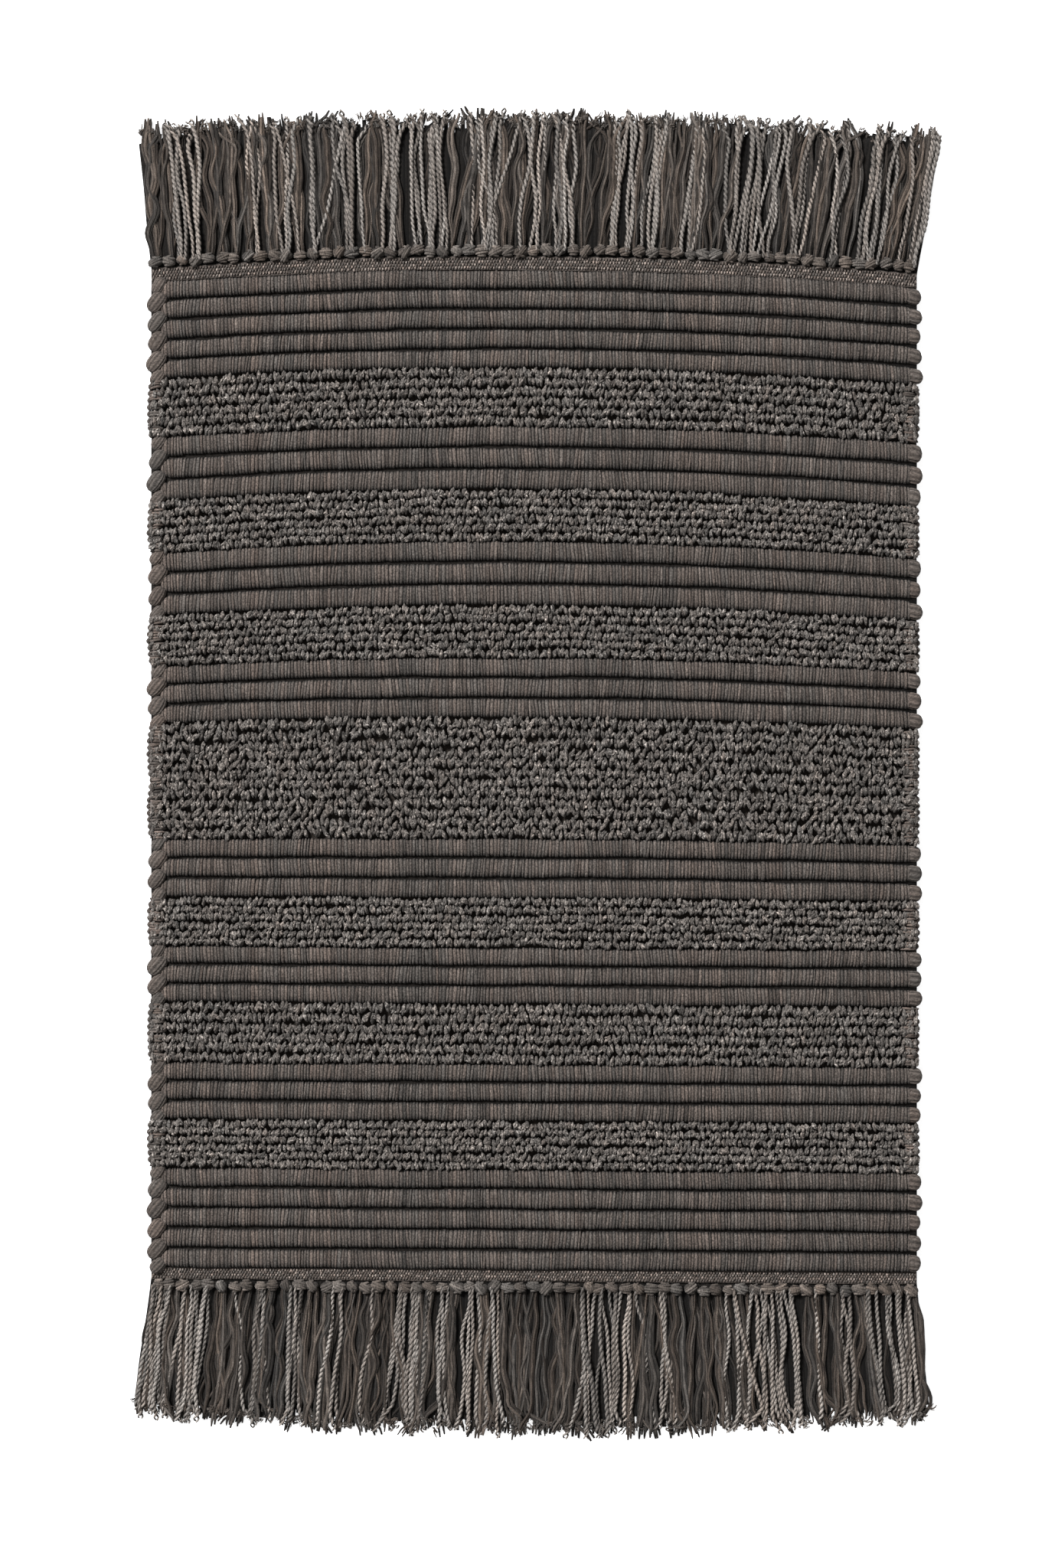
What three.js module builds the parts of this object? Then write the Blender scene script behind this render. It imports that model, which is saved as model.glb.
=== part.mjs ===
// A hand-woven cotton bath mat lying flat: ribs over thick filler cords, bands of chenille pile
// on a plain ground weave, and a knotted fringe at each end.
// Millimetres. +X runs across the mat along the wefts, +Y along its length along the warp, and +Z up.
// The origin is on the floor at the middle of the mat, where it folds in half.
import * as THREE from 'three';

// Driving dimensions.
const wovenWidth = 600;
const gap = 0.3; // between neighbouring pieces
const grooveWidth = 1.6; // between neighbouring ribs
const ribHeight = 9.6;
const coverWall = 1.4; // the warp yarns that wrap a filler cord
const selvedgeInset = 8; // from the woven edge to the open end of a rib's cover
const groundThickness = 2.4;
const headingThickness = 3;
const pileHeight = 11; // from the floor to the crests of the pile
const pileRowDip = 2; // how far the pile drops between two rows
const knotHeight = 8.4;
const knotLength = 10.5; // along the warp
const knotsPerEnd = 59;
const tasselThickness = 6;
const tasselGap = 1.4;
const tasselRoot = 2; // the strip behind the knots where the tassels are still together
const fringeFlare = 0.035; // how much wider the fringe is at its tips
const halfLength = 516; // from the fold line to the fringe tips at the middle of the mat

// The wefts of the far end bow towards the tips in the middle, and all of them run slightly askew.
const farBow = 11.5;
const bowStart = -160;
const bowFull = 200;
const weftSkew = 0.007;

// Each stripe from the fold line outwards. A stripe is a group of ribs or a band of chenille rows.
const farStripes = [
  { rows: 6, length: 46.5 }, { ribs: 3, length: 48.5 }, { rows: 6, length: 39.5 }, { ribs: 3, length: 51.5 },
  { rows: 6, length: 39 }, { ribs: 3, length: 51 }, { rows: 6, length: 44 }, { ribs: 5, length: 78 },
];
const nearStripes = [
  { rows: 6, length: 46.5 }, { ribs: 3, length: 48 }, { rows: 6, length: 37.5 }, { ribs: 3, length: 45.5 },
  { rows: 6, length: 45.5 }, { ribs: 3, length: 46 }, { rows: 6, length: 36.5 }, { ribs: 5, length: 79.5 },
];
const farHeading = 9.5;
const nearHeading = 8;

const halfWidth = wovenWidth / 2;
const acrossSteps = 4; // lengths that a piece is divided into to follow the bow
const coverSides = 8;
const fillerSides = 6;
const knotSides = 6;

const colours = {
  cover: 0x6e665f,
  filler: 0x8a837b,
  pile: 0x5f5c59,
  ground: 0x4c4742,
  heading: 0x625b55,
  knot: 0x716a64,
  fringe: 0x7b746d,
};

const mat = new THREE.Group();

function addPiece(name, geometry, colour) {
  const material = new THREE.MeshStandardMaterial({ color: colour, roughness: 0.95, metalness: 0 });
  const mesh = new THREE.Mesh(followWefts(geometry), material);
  mesh.name = name;
  mat.add(mesh);
}

// How far towards -Y a weft that crosses the middle of the mat at y lies at x.
function weftDrop(x, y) {
  const along = THREE.MathUtils.smoothstep(y, bowStart, bowFull);
  return farBow * along * (x / halfWidth) ** 2 + weftSkew * x;
}

// Every piece is first made straight and square, and then follows the bowed wefts.
function followWefts(geometry) {
  const place = geometry.getAttribute('position');
  for (let i = 0; i < place.count; i += 1) {
    place.setY(i, place.getY(i) - weftDrop(place.getX(i), place.getY(i)));
  }
  geometry.computeVertexNormals();
  return geometry;
}

// A section in Y and Z, extruded across the mat from one selvedge to the other.
function acrossTheMat(section) {
  const shape = new THREE.Shape(section.map(([y, z]) => new THREE.Vector2(y, z)));
  const geometry = new THREE.ExtrudeGeometry(shape, {
    depth: wovenWidth, steps: acrossSteps, bevelEnabled: false,
  });
  const turned = new THREE.Matrix4().makeBasis(
    new THREE.Vector3(0, 1, 0), new THREE.Vector3(0, 0, 1), new THREE.Vector3(1, 0, 0),
  );
  return geometry.applyMatrix4(turned).translate(-halfWidth, 0, 0);
}

// An oval outline with a flat underneath, as pairs of sideways and upwards distances from its centre.
function oval(sides, halfAcross, halfUp) {
  const outline = [];
  for (let i = 0; i < sides; i += 1) {
    const angle = -Math.PI / 2 + ((i + 0.5) * 2 * Math.PI) / sides;
    outline.push([Math.cos(angle), Math.sin(angle)]);
  }
  const widest = Math.max(...outline.map(([side]) => side));
  const highest = Math.max(...outline.map(([, up]) => up));
  return outline.map(([side, up]) => [(side * halfAcross) / widest, (up * halfUp) / highest]);
}

// The outline's points, square to a level path that passes through a place in a direction.
function ringAt(place, direction, outline) {
  return outline.map(([side, up]) => [
    place.x - direction.y * side, place.y + direction.x * side, place.z + up,
  ]);
}

// A closed surface over rings of points. As a loop, the last ring joins the first, which makes a tube's
// outside and bore. Otherwise both ends get a cap.
function skinOver(rings, loop) {
  const sides = rings[0].length;
  const positions = rings.flat(2);
  const triangles = [];
  const joins = loop ? rings.length : rings.length - 1;
  for (let k = 0; k < joins; k += 1) {
    const here = k * sides;
    const next = ((k + 1) % rings.length) * sides;
    for (let j = 0; j < sides; j += 1) {
      const after = (j + 1) % sides;
      triangles.push(here + j, here + after, next + after, here + j, next + after, next + j);
    }
  }
  if (!loop) {
    const last = (rings.length - 1) * sides;
    for (let j = 1; j < sides - 1; j += 1) {
      triangles.push(0, j + 1, j, last, last + j, last + j + 1);
    }
  }
  const geometry = new THREE.BufferGeometry();
  geometry.setAttribute('position', new THREE.Float32BufferAttribute(positions, 3));
  geometry.setIndex(triangles);
  return geometry;
}

const acrossX = new THREE.Vector2(1, 0);

// The warp yarns round one filler cord: a tube with open ends.
function ribCover(name, y, halfAcross) {
  const end = halfWidth - selvedgeInset;
  const outside = oval(coverSides, halfAcross, ribHeight / 2);
  const inside = oval(coverSides, halfAcross - coverWall, ribHeight / 2 - coverWall);
  const outer = [];
  const inner = [];
  for (let i = 0; i <= acrossSteps; i += 1) {
    const place = new THREE.Vector3(-end + (2 * end * i) / acrossSteps, y, ribHeight / 2);
    outer.push(ringAt(place, acrossX, outside));
    inner.unshift(ringAt(place, acrossX, inside));
  }
  addPiece(name, skinOver([...outer, ...inner], true), colours.cover);
}

// One filler cord, laid to and fro through a group of covers, turning round at the selvedges.
function ribFiller(name, yOfRibs, halfAcross) {
  const run = halfWidth - selvedgeInset + 1;
  const room = coverWall + 0.5;
  const outline = oval(fillerSides, halfAcross - room, ribHeight / 2 - room);
  const stations = [];
  yOfRibs.forEach((y, rib) => {
    const way = rib % 2 === 0 ? 1 : -1;
    for (let i = 0; i <= acrossSteps; i += 1) {
      stations.push({ x: way * run * ((2 * i) / acrossSteps - 1), y, direction: new THREE.Vector2(way, 0) });
    }
    if (rib + 1 < yOfRibs.length) {
      stations.push(...turnStations(way * run, y, yOfRibs[rib + 1], way));
    }
  });
  const rings = stations.map(({ x, y, direction }) => (
    ringAt(new THREE.Vector3(x, y, ribHeight / 2), direction, outline)
  ));
  addPiece(name, skinOver(rings, false), colours.filler);
}

// Three places on the half circle in which the cord turns from one rib to the next.
function turnStations(x, y, nextY, way) {
  const radius = Math.abs(nextY - y) / 2;
  const down = Math.sign(nextY - y);
  return [1, 2, 3].map((quarter) => {
    const angle = (quarter * Math.PI) / 4;
    return {
      x: x + way * radius * Math.sin(angle),
      y: (y + nextY) / 2 - down * radius * Math.cos(angle),
      direction: new THREE.Vector2(way * Math.cos(angle), down * Math.sin(angle)),
    };
  });
}

// The chenille rows of a band: a low crest for each row.
function pileBand(name, low, high, rows) {
  const pitch = (high - low) / rows;
  const section = [[low, groundThickness + gap], [high, groundThickness + gap]];
  for (let row = rows - 1; row >= 0; row -= 1) {
    const middle = low + (row + 0.5) * pitch;
    section.push([middle + pitch / 2, pileHeight - pileRowDip], [middle, pileHeight]);
  }
  section.push([low, pileHeight - pileRowDip]);
  addPiece(name, acrossTheMat(section), colours.pile);
}

function flatStrip(name, low, high, thickness, colour) {
  addPiece(name, acrossTheMat([[low, 0], [high, 0], [high, thickness], [low, thickness]]), colour);
}

// The row of overhand knots in which the warp ends are tied, side by side.
function knotRow(name, y) {
  const pitch = wovenWidth / knotsPerEnd;
  const belly = oval(knotSides, knotLength / 2 - gap, knotHeight / 2);
  const waist = oval(knotSides, knotLength / 3, knotHeight / 3);
  const rings = [];
  for (let i = 0; i <= 2 * knotsPerEnd; i += 1) {
    const place = new THREE.Vector3(-halfWidth + (i * pitch) / 2, y, knotHeight / 2);
    rings.push(ringAt(place, acrossX, i % 2 === 1 ? belly : waist));
  }
  addPiece(name, skinOver(rings, false), colours.knot);
}

// The tassels below the knots: a comb with one tooth for each knot, spreading slightly to the tips.
function fringe(name, rootY, tipY) {
  const away = Math.sign(tipY - rootY);
  const pitch = wovenWidth / knotsPerEnd;
  const splitY = rootY + away * tasselRoot;
  const outline = [];
  for (let i = 0; i <= knotsPerEnd; i += 1) {
    outline.push(new THREE.Vector2(halfWidth - i * pitch, rootY));
  }
  for (let i = 0; i < knotsPerEnd; i += 1) {
    const left = -halfWidth + i * pitch + (i > 0 ? tasselGap / 2 : 0);
    const right = -halfWidth + (i + 1) * pitch - (i + 1 < knotsPerEnd ? tasselGap / 2 : 0);
    for (const [x, y] of [[left, splitY], [left, tipY], [right, tipY], [right, splitY]]) {
      const spread = (fringeFlare * (y - splitY)) / (tipY - splitY);
      outline.push(new THREE.Vector2(x * (1 + spread), y));
    }
  }
  const geometry = new THREE.ExtrudeGeometry(new THREE.Shape(outline), {
    depth: tasselThickness, steps: 1, bevelEnabled: false,
  });
  addPiece(name, geometry, colours.fringe);
}

// One half of the mat, outwards from the fold line. side is 1 for the far half and -1 for the near half.
function half(side, stripes, headingLength, ribNames, fillerNames, bandNames) {
  let reached = 0;
  for (const stripe of stripes) {
    const start = side * (reached + gap / 2);
    const end = side * (reached + stripe.length - gap / 2);
    const low = Math.min(start, end);
    const high = Math.max(start, end);
    if (stripe.ribs) {
      const pitch = stripe.length / stripe.ribs;
      const halfAcross = (pitch - grooveWidth) / 2;
      const yOfRibs = [];
      for (let i = 0; i < stripe.ribs; i += 1) {
        yOfRibs.push(side * (reached + (i + 0.5) * pitch));
        ribCover(ribNames.shift(), yOfRibs[i], halfAcross);
      }
      ribFiller(fillerNames.shift(), yOfRibs, halfAcross);
    } else {
      const band = bandNames.shift();
      flatStrip(`ground_weave_${band}`, low, high, groundThickness, colours.ground);
      pileBand(`chenille_${band}`, low, high, stripe.rows);
    }
    reached += stripe.length;
  }
  const end = side > 0 ? 'far' : 'near';
  const headingEnds = [side * (reached + gap / 2), side * (reached + headingLength)].sort((a, b) => a - b);
  flatStrip(`heading_${end}`, headingEnds[0], headingEnds[1], headingThickness, colours.heading);
  reached += headingLength;
  knotRow(`knots_${end}`, side * (reached + knotLength / 2));
  reached += knotLength;
  // The skew brings the near corner tips this much further out than the middle ones.
  const skewAtCorner = side > 0 ? 0 : weftSkew * halfWidth;
  fringe(`fringe_${end}`, side * (reached + gap), side * (halfLength - skewAtCorner));
}

const numbered = (name, from, to) => {
  const names = [];
  for (let i = from; i !== to; i += Math.sign(to - from)) {
    names.push(`${name}${String(i).padStart(2, '0')}`);
  }
  return names;
};

// Ribs, fillers and bands are numbered from the far end to the near end.
half(1, farStripes, farHeading, numbered('rib_cover_', 14, 0), numbered('rib_filler_', 4, 0),
  ['centre_far', '3', '2', '1']);
half(-1, nearStripes, nearHeading, numbered('rib_cover_', 15, 29), numbered('rib_filler_', 5, 9),
  ['centre_near', '4', '5', '6']);

export default mat;
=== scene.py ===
import math

import bpy
import numpy as np
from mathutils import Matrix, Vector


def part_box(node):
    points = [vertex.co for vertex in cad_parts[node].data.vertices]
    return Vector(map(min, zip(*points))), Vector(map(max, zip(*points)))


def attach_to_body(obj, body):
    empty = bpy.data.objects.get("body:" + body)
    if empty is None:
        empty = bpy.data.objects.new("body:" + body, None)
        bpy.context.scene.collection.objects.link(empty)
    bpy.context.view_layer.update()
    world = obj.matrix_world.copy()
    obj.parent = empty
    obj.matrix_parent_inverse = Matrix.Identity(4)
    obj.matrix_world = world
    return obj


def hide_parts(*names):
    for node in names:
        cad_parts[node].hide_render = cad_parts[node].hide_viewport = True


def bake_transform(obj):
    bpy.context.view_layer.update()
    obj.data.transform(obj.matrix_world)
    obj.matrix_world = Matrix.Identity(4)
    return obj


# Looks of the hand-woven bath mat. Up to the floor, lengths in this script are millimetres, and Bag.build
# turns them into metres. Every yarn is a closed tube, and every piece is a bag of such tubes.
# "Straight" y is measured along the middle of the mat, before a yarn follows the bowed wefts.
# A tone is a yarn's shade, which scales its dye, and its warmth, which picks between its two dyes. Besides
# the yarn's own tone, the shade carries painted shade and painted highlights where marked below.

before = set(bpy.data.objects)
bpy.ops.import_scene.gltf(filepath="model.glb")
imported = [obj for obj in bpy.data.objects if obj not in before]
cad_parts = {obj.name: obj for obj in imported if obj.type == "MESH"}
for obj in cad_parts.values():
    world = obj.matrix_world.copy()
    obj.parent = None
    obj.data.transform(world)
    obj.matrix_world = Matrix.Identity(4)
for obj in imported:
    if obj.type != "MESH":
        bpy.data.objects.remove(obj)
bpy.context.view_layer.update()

HALF_WIDTH = 300
RIB_LEFT, RIB_RIGHT = -292, 299     # the ribs meet the cord turns at the left, and round caps at the right
WARP_BUNDLES = 222
KNOTS = 59
NEAR_TIP_BOW = 13                   # the corner tips of the near fringe end this much short of its middle
RIB_GROUPS = [range(1, 6), range(6, 9), range(9, 12), range(12, 15),
              range(15, 18), range(18, 21), range(21, 24), range(24, 29)]
BANDS = ["1", "2", "3", "centre_far", "centre_near", "4", "5", "6"]


def body_of_group(group):
    return "far_half" if group[0] < 15 else "near_half"


# ---------------------------------------------------------------- where things are

def smooth(t):
    t = np.clip(t, 0, 1)
    return t * t * (3 - 2 * t)


def weft_drop(x, y):
    """How far towards -Y a weft lies at x, with the same bow and skew as the CAD part."""
    return 11.5 * smooth((y + 160) / 360) * (x / HALF_WIDTH) ** 2 + 0.007 * x


def middle_span(node):
    """Lowest and highest straight y of a CAD node, read from its vertices at the middle of the mat."""
    points = np.array([v.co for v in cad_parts[node].data.vertices]) * 1000
    middle = points[np.abs(points[:, 0]) < 6]
    return middle[:, 1].min(), middle[:, 1].max()


def top_of(node):
    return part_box(node)[1].z * 1000


def dice_for(name):
    return np.random.default_rng(list(name.encode()))


def wander(dice, count, samples, knots):
    """Smooth random curves between -1 and 1, one to a row."""
    values = dice.uniform(-1, 1, (count, knots + 1))
    at = np.linspace(0, knots, samples)
    cell = np.minimum(at.astype(int), knots - 1)
    part = smooth(at - cell)
    return values[:, cell] * (1 - part) + values[:, cell + 1] * part


# ---------------------------------------------------------------- bags of yarn

class Bag:
    """Closed tubes, gathered in batches of the same layout."""

    def __init__(self):
        self.batches = []

    def rings(self, points, tone):
        """points[tube, ring, side, 3]. tone is (shade, warmth) for each tube, ring and side."""
        tone = np.broadcast_to(tone, (*points.shape[:3], 2))
        self.batches.append((points, tone))

    def tubes(self, path, across, up, tone, sides, rough=None):
        """Tubes along path[tube, ring, 3] with half sizes across and up. rough scales each side of a ring."""
        count, rings = path.shape[:2]
        along = np.gradient(path, axis=1)
        along /= np.linalg.norm(along, axis=2, keepdims=True) + 1e-9
        side = np.cross(along, (0, 0, 1))
        side /= np.linalg.norm(side, axis=2, keepdims=True) + 1e-9
        upward = np.cross(side, along)
        angle = np.arange(sides) * 2 * np.pi / sides
        across = np.broadcast_to(across, (count, rings))[..., None] * np.cos(angle)
        up = np.broadcast_to(up, (count, rings))[..., None] * np.sin(angle)
        if rough is not None:
            across, up = across * rough, up * rough
        points = path[:, :, None] + across[..., None] * side[:, :, None] + up[..., None] * upward[:, :, None]
        tone = np.asarray(tone, float)
        if tone.ndim == 2:
            tone = tone[:, None, None]
        elif tone.ndim == 3:
            tone = tone[:, :, None]
        self.rings(points, tone)

    def build(self, name, material):
        places, tones, corners, lengths, maps = [], [], [], [], []
        sizes = []
        for points, _ in self.batches:
            tube_length = np.linalg.norm(np.diff(points.mean(2), axis=1), axis=2).sum(1).mean()
            girth = np.linalg.norm(points - np.roll(points, 1, axis=2), axis=3).sum(2).mean()
            sizes.append((points.shape[0], tube_length + 0.1, girth + 0.1))
        total = sum(count * length * girth for count, length, girth in sizes)
        reached, low = 0, 0.0
        for (points, tone), (count, length, girth) in zip(self.batches, sizes):
            _, rings, sides, _ = points.shape
            number = np.arange(count * rings * sides).reshape(count, rings, sides) + reached
            after = np.roll(number, -1, axis=2)
            quads = np.stack([number[:, :-1], number[:, 1:], after[:, 1:], after[:, :-1]], axis=-1)
            caps = np.concatenate([number[:, 0], number[:, -1, ::-1]])
            places.append(points.reshape(-1, 3))
            tones.append(tone.reshape(-1, 2))
            corners += [quads.reshape(-1), caps.reshape(-1)]
            lengths += [np.full(quads.size // 4, 4), np.full(len(caps), sides)]
            # In the bake map each tube has a cell of its own, in a strip for its batch.
            height = count * length * girth / total
            columns = max(1, round(math.sqrt(count * length / (height * girth))))
            rows = math.ceil(count / columns)
            cell = np.arange(count)
            v = np.linspace(0.03, 0.97, rings)
            u = 0.04 + 0.92 * np.arange(sides + 1) / sides
            cell_u = (cell % columns)[:, None, None]
            cell_v = (cell // columns)[:, None, None]
            u = np.broadcast_to((cell_u + u[None, None]) / columns, (count, rings, sides + 1))
            v = np.broadcast_to(low + height * (cell_v + v[None, :, None]) / rows, (count, rings, sides + 1))
            uv = np.stack([u, v], axis=-1)
            quad_uv = np.stack([uv[:, :-1, :-1], uv[:, 1:, :-1], uv[:, 1:, 1:], uv[:, :-1, 1:]], axis=-2)
            maps += [quad_uv.reshape(-1, 2), uv[:, 0, :-1].reshape(-1, 2), uv[:, -1, -2::-1].reshape(-1, 2)]
            low += height
            reached += count * rings * sides
        places = np.concatenate(places)
        places[:, 1] -= weft_drop(places[:, 0], places[:, 1])
        lengths = np.concatenate(lengths)
        mesh = bpy.data.meshes.new(name)
        mesh.vertices.add(len(places))
        mesh.vertices.foreach_set("co", (places / 1000).astype(np.float32).ravel())
        mesh.loops.add(int(lengths.sum()))
        mesh.loops.foreach_set("vertex_index", np.concatenate(corners).astype(np.int32))
        mesh.polygons.add(len(lengths))
        starts = np.concatenate([[0], np.cumsum(lengths)[:-1]])
        mesh.polygons.foreach_set("loop_start", starts.astype(np.int32))
        mesh.update(calc_edges=True)
        mesh.shade_smooth()
        mesh.attributes.new("tone", "FLOAT2", "POINT")
        mesh.attributes["tone"].data.foreach_set("vector", np.concatenate(tones).astype(np.float32).ravel())
        mesh.uv_layers.new(name="OFBake")
        mesh.uv_layers["OFBake"].uv.foreach_set("vector", np.concatenate(maps).astype(np.float32).ravel())
        mesh.materials.append(material)
        piece = bpy.data.objects.new(name, mesh)
        bpy.context.scene.collection.objects.link(piece)
        return piece


# ---------------------------------------------------------------- materials

def yarn_material(name, cool, warm, grain, speckle, fuzz):
    """Cotton yarn. cool and warm are its two dyes. grain is how many fibre streaks fit in a metre on each
    axis, speckle is how strongly they change the shade, and fuzz how strongly they show as bump."""
    material = bpy.data.materials.new(name)
    material.use_nodes = True
    tree = material.node_tree
    shader = tree.nodes["Principled BSDF"]
    shader.inputs["Roughness"].default_value = 0.92
    shader.inputs["Specular IOR Level"].default_value = 0.12
    shader.inputs["Sheen Weight"].default_value = 0.06
    shader.inputs["Sheen Roughness"].default_value = 0.6

    def node(kind, **settings):
        made = tree.nodes.new("ShaderNode" + kind)
        for key, value in settings.items():
            setattr(made, key, value)
        return made

    def join(out, into):
        tree.links.new(out, into)

    def sums(operation, a, b):
        made = node("Math", operation=operation)
        for value, socket in ((a, made.inputs[0]), (b, made.inputs[1])):
            if isinstance(value, (int, float)):
                socket.default_value = value
            else:
                join(value, socket)
        return made.outputs[0]

    def noise(scales, detail):
        mapping = node("Mapping")
        mapping.inputs["Scale"].default_value = scales
        join(coordinates.outputs["Object"], mapping.inputs["Vector"])
        made = node("TexNoise")
        made.inputs["Scale"].default_value = 1.0
        made.inputs["Detail"].default_value = detail
        made.inputs["Roughness"].default_value = 0.65
        join(mapping.outputs["Vector"], made.inputs["Vector"])
        return made.outputs["Fac"]

    coordinates = node("TexCoord")
    tone = node("Attribute", attribute_name="tone")
    parts = node("SeparateXYZ")
    join(tone.outputs["Vector"], parts.inputs["Vector"])

    streaks = noise(grain, 3.0)
    patches = noise((38, 22, 38), 1.0)
    warmth = sums("ADD", sums("MULTIPLY", parts.outputs["Y"], 0.32),
                  sums("ADD", sums("MULTIPLY", sums("SUBTRACT", patches, 0.5), 0.7), 0.5))
    dye = node("Mix", data_type="RGBA")
    dye.inputs["A"].default_value = (*cool, 1)
    dye.inputs["B"].default_value = (*warm, 1)
    join(warmth, dye.inputs["Factor"])
    flecks = sums("ADD", sums("MULTIPLY", sums("SUBTRACT", streaks, 0.5), speckle), 1.0)
    shade = sums("MAXIMUM", sums("MULTIPLY", flecks, parts.outputs["X"]), 0.03)
    shaded = node("VectorMath", operation="SCALE")
    join(dye.outputs["Result"], shaded.inputs["Vector"])
    join(shade, shaded.inputs["Scale"])
    join(shaded.outputs["Vector"], shader.inputs["Base Color"])

    bump = node("Bump")
    bump.inputs["Strength"].default_value = fuzz
    bump.inputs["Distance"].default_value = 0.0006
    join(streaks, bump.inputs["Height"])
    join(bump.outputs["Normal"], shader.inputs["Normal"])
    return material


COOL, WARM = (0.084, 0.075, 0.068), (0.112, 0.088, 0.075)
warp_yarn = yarn_material("warp_yarn", COOL, WARM, (1100, 760, 760), 4.2, 0.9)
cord_yarn = yarn_material("cord_yarn", COOL, WARM, (480, 900, 900), 3.0, 0.8)
chenille_yarn = yarn_material(
    "chenille_yarn", (0.125, 0.117, 0.109), (0.150, 0.128, 0.113), (1200, 900, 900), 4.6, 1.0)
# The ground cloth's dyes are about half as bright as the warp's: painted shade, as its upper side shows only
# deep under the pile and the ribs.
ground_yarn = yarn_material(
    "ground_yarn", (0.042, 0.036, 0.031), (0.055, 0.043, 0.035), (800, 300, 300), 2.4, 0.8)
soft_yarn = yarn_material(
    "soft_yarn", (0.080, 0.073, 0.067), (0.094, 0.073, 0.059), (1700, 1400, 1400), 3.4, 1.0)
fringe_yarn = yarn_material(
    "fringe_yarn", (0.078, 0.071, 0.065), (0.088, 0.070, 0.058), (1300, 520, 900), 3.6, 0.8)


# ---------------------------------------------------------------- ribs

def warp_layout():
    """Where each bundle of warp yarns lies across the mat, and its shade and warmth, kept along the mat."""
    dice = dice_for("warp")
    widths = dice.uniform(2.0, 3.3, WARP_BUNDLES)
    edges = np.concatenate([[0], np.cumsum(widths)])
    edges = RIB_LEFT + edges / edges[-1] * (RIB_RIGHT - RIB_LEFT)
    shade = 1 + 0.05 * wander(dice, 1, WARP_BUNDLES, 60)[0] + dice.normal(0, 0.05, WARP_BUNDLES)
    warmth = 0.9 * wander(dice, 1, WARP_BUNDLES, 48)[0] + dice.normal(0, 0.55, WARP_BUNDLES)
    return edges, shade, warmth


WARP_EDGES, WARP_SHADE, WARP_WARMTH = warp_layout()


def rib_piece(number, body):
    """Round bundles of warp yarn side by side over a filler cord, with a crease between each two."""
    node = f"rib_cover_{number:02d}"
    name = f"rib_{number:02d}"
    dice = dice_for(name)
    low, high = middle_span(node)
    top = top_of(node)
    # Each bundle has six columns of points. The first one lies in the crease beside it.
    phase = np.array([0, 0.11, 0.27, 0.5, 0.73, 0.89])
    bundle = np.repeat(np.arange(WARP_BUNDLES), len(phase))
    x = WARP_EDGES[bundle] + np.tile(phase, WARP_BUNDLES) * np.diff(WARP_EDGES)[bundle]
    x, bundle = np.append(x, RIB_RIGHT), np.append(bundle, WARP_BUNDLES - 1)
    rounded = np.append(np.tile(np.sqrt(1 - (0.97 * (2 * phase - 1)) ** 2), WARP_BUNDLES), 0.25)
    middle_line = np.append(np.tile([0, 0, 0, 1.0, 0, 0], WARP_BUNDLES), 0)
    depth = dice.uniform(1.2, 2.0, WARP_BUNDLES) + 1.2 * (dice.random(WARP_BUNDLES) < 0.22)
    swell = dice.normal(0, 0.2, WARP_BUNDLES) + 0.2 * wander(dice, 1, WARP_BUNDLES, 60)[0]

    offset = swell[bundle] - depth[bundle] * (1 - rounded) - 0.14 * middle_line
    reach = np.maximum(np.minimum(RIB_RIGHT - x, x - RIB_LEFT), 0)
    closing = np.sqrt(np.clip(1 - (1 - reach / 9) ** 2 * (reach < 9), 0.03, 1))
    across = ((high - low) / 2 + offset) * closing
    up = np.minimum(top / 2 - 0.15 + 0.6 * offset, top / 2) * closing
    angle = np.radians([0, 20, 42, 64, 85, 105, 126, 148, 170, 192, 225, 262, 298, 335])
    power = 2 / 2.4
    out = np.sign(np.cos(angle)) * np.abs(np.cos(angle)) ** power
    above = np.sign(np.sin(angle)) * np.abs(np.sin(angle)) ** power
    lean = 0.1 * wander(dice, 1, len(x), 22)[0] + dice.normal(0, 0.03, WARP_BUNDLES)[bundle]
    sway = 0.55 * wander(dice, 1, len(x), 18)[0] * np.clip(reach / 20, 0, 1)
    y = across[:, None] * out
    points = np.stack([
        x[:, None] + lean[:, None] * y + 0.3 * wander(dice, 1, len(x), 160)[0][:, None],
        (low + high) / 2 + sway[:, None] + y,
        top / 2 + up[:, None] * above,
    ], axis=-1)
    shade = (WARP_SHADE + dice.normal(0, 0.15, WARP_BUNDLES))[bundle]
    # Painted shade: a bundle's shade falls to near black in the crease beside it and dips a little along its
    # middle line.
    shade = shade * (0.04 + 1.2 * rounded ** 2) * (1 - 0.18 * middle_line)
    warmth = (WARP_WARMTH + dice.normal(0, 0.35, WARP_BUNDLES))[bundle]
    # Painted shade: each rib darkens towards its edges by the grooves, and its lower side, facing -Y away
    # from the key light, is painted darker and cooler.
    edge = np.clip((np.abs(out) - 0.78) / 0.22, 0, 1)
    lower = np.clip((-out - 0.35) / 0.65, 0, 1)
    tone = np.zeros((*points.shape[:2], 2))
    mottle = 1 + dice.normal(0, 0.14, points.shape[:2])
    tone[..., 0] = 0.95 * shade[:, None] * (1 - 0.6 * edge) * (1 - 0.14 * lower) * mottle
    tone[..., 1] = warmth[:, None] - 1.0 * lower
    bag = Bag()
    bag.rings(points[None], tone[None])
    piece = bag.build(name, warp_yarn)
    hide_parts(node)
    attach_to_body(piece, body)
    return piece


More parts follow.
